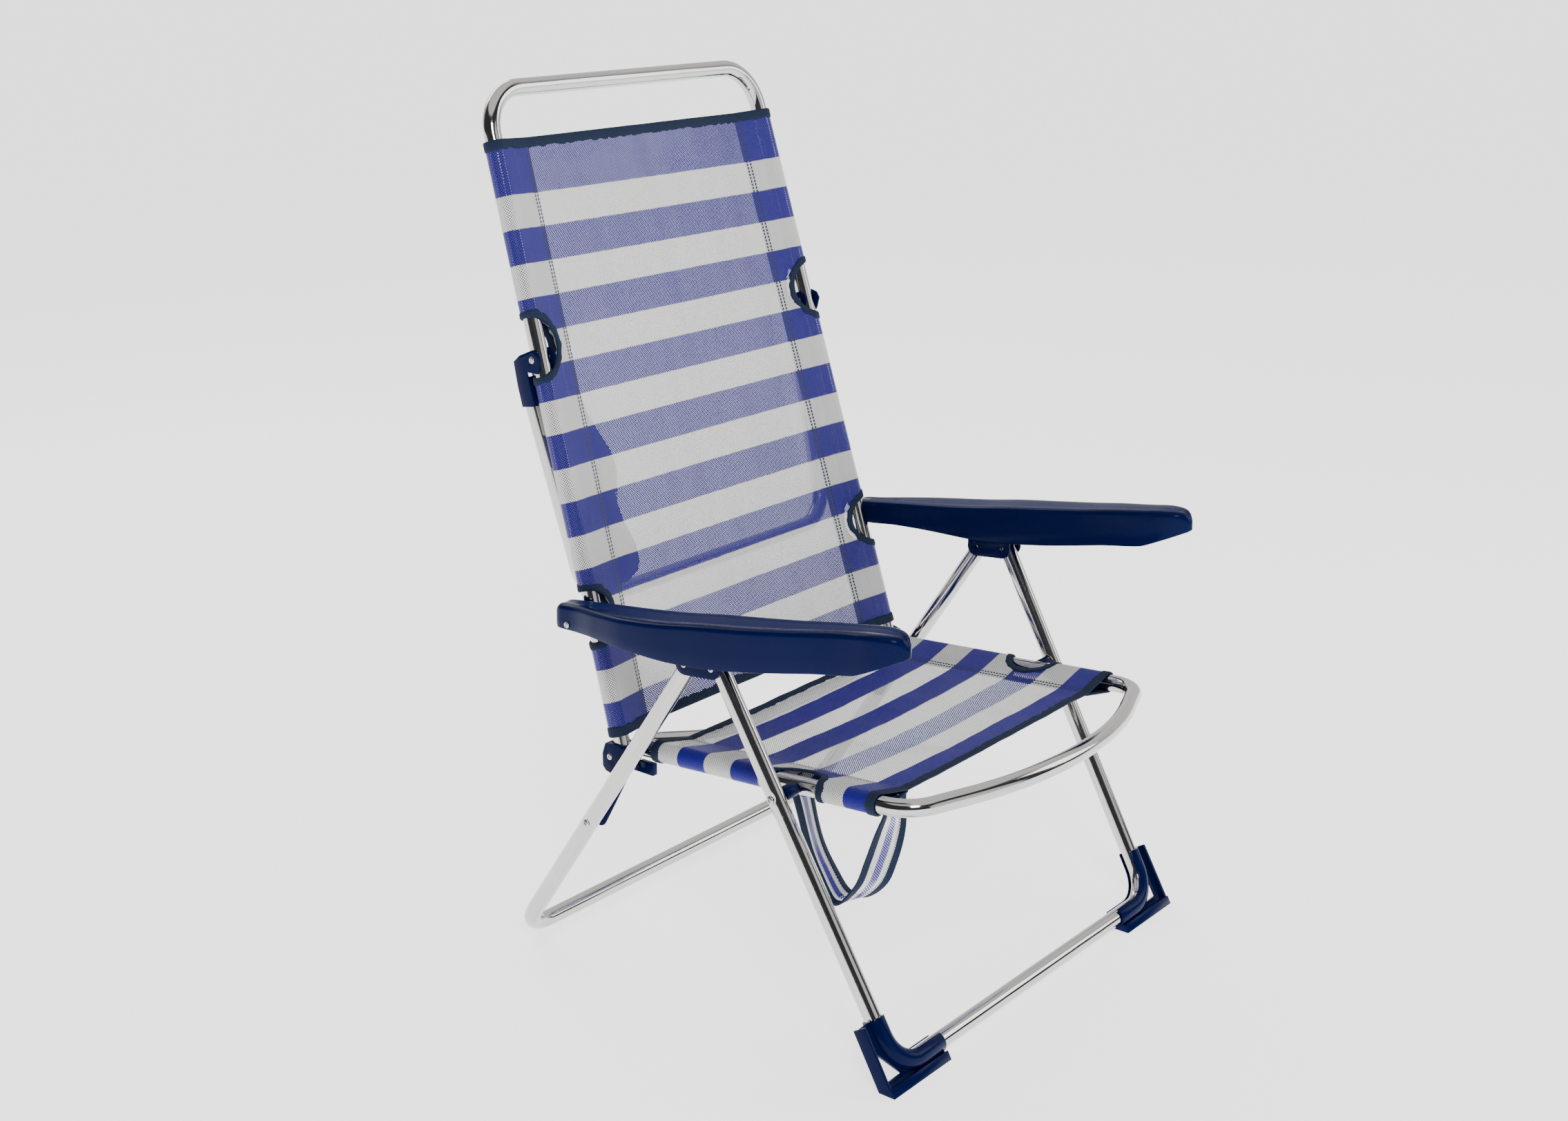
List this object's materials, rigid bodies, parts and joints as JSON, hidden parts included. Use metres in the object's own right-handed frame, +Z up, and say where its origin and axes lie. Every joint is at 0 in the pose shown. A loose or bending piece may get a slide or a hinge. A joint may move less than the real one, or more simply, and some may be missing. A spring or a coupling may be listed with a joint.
{
  "type": "beach chair",
  "caption": "Folding high-back beach chair with aluminium tube frame, striped mesh seat and back, plastic armrests and a swing-out rear bed leg.",
  "frame": {"origin": "middle of the footprint, on the floor", "axes": "+Z up, the sitter faces -Y, +X is the sitter's left"},
  "size_m": [0.634, 0.6762, 1.0028],
  "materials": {
    "frame": "polished bare aluminium tube",
    "rivet": "domed rivet heads",
    "plastic": "moulded navy plastic with a satin skin",
    "mesh_cloth": "woven see-through mesh, crosswise blue and white stripes, navy bound edges",
    "strap": "navy woven tape that edges the mesh carry strap"
  },
  "bodies": {
    "seat": {"seat_frame_front": "frame", "seat_frame_rear": "frame", "seat_cloth": "mesh_cloth", "carry_strap": "strap", "seat_hinge_bracket_left": "plastic", "seat_hinge_bracket_right": "plastic", "seat_spacer_left": "plastic", "seat_spacer_right": "plastic", "seat_pivot_rivet_left": "rivet", "seat_pivot_rivet_right": "rivet", "recline_rivet_left": "rivet", "recline_rivet_right": "rivet", "link_top_rivet_left": "rivet", "link_top_rivet_right": "rivet"},
    "back": {"back_frame": "frame", "back_cloth": "mesh_cloth", "back_hinge_cap_left": "plastic", "back_hinge_cap_right": "plastic", "armrest_rivet_left": "rivet", "armrest_rivet_right": "rivet", "bed_leg_rivet_left": "rivet", "bed_leg_rivet_right": "rivet"},
    "bed_leg": {"bed_leg_frame": "frame", "bed_leg_bracket_left": "plastic", "bed_leg_bracket_right": "plastic"},
    "armrest_left": {"armrest_left": "plastic"},
    "armrest_right": {"armrest_right": "plastic"},
    "front_legs": {"front_leg_frame": "frame", "front_foot_left": "plastic", "front_foot_right": "plastic"},
    "hubs": {"hub_left": "plastic", "hub_right": "plastic", "hub_front_rivet_left": "rivet", "hub_front_rivet_right": "rivet", "hub_rear_rivet_left": "rivet", "hub_rear_rivet_right": "rivet"},
    "rear_legs": {"rear_leg_frame": "frame", "link_low_rivet_left": "rivet", "link_low_rivet_right": "rivet"},
    "links": {"link_left": "plastic", "link_right": "plastic"}
  },
  "joints": [
    {"name": "recline", "type": "hinge", "parent": "seat", "child": "back", "pos_m": [0, 0.122, 0.266], "axis": [-1, 0, 0], "range_deg": [0, 73.4]},
    {"name": "armrest_left_pivot", "type": "hinge", "parent": "back", "child": "armrest_left", "pos_m": [0, 0.159, 0.423], "axis": [-1, 0, 0], "range_deg": [-50, 1]},
    {"name": "armrest_right_pivot", "type": "hinge", "parent": "back", "child": "armrest_right", "pos_m": [0, 0.159, 0.423], "axis": [-1, 0, 0], "range_deg": [-50, 1]},
    {"name": "bed_leg_swing", "type": "hinge", "parent": "back", "child": "bed_leg", "pos_m": [0, 0.2424, 0.705], "axis": [1, 0, 0], "range_deg": [0, 105]},
    {"name": "fold", "type": "hinge", "parent": "seat", "child": "front_legs", "pos_m": [0, -0.126, 0.287], "axis": [1, 0, 0], "range_deg": [0, 103]},
    {"name": "hub_turn", "type": "hinge", "parent": "front_legs", "child": "hubs", "pos_m": [0, -0.0515, 0.4197], "axis": [1, 0, 0], "range_deg": [-66.1, 0.5]},
    {"name": "rear_leg_turn", "type": "hinge", "parent": "hubs", "child": "rear_legs", "pos_m": [0, -0.0132, 0.4161], "axis": [1, 0, 0], "range_deg": [-0.5, 2.68]},
    {"name": "link_turn", "type": "hinge", "parent": "seat", "child": "links", "pos_m": [0, 0.1, 0.257], "axis": [1, 0, 0], "range_deg": [-129.34, 0.5]}
  ],
  "couplings": [
    {"joint": "armrest_left_pivot", "follows": "recline", "ratio": -0.66},
    {"joint": "armrest_right_pivot", "follows": "recline", "ratio": -0.66},
    {"joint": "hub_turn", "follows": "fold", "ratio": -0.63689},
    {"joint": "rear_leg_turn", "follows": "fold", "ratio": 0.02115},
    {"joint": "link_turn", "follows": "fold", "ratio": -1.2508}
  ]
}
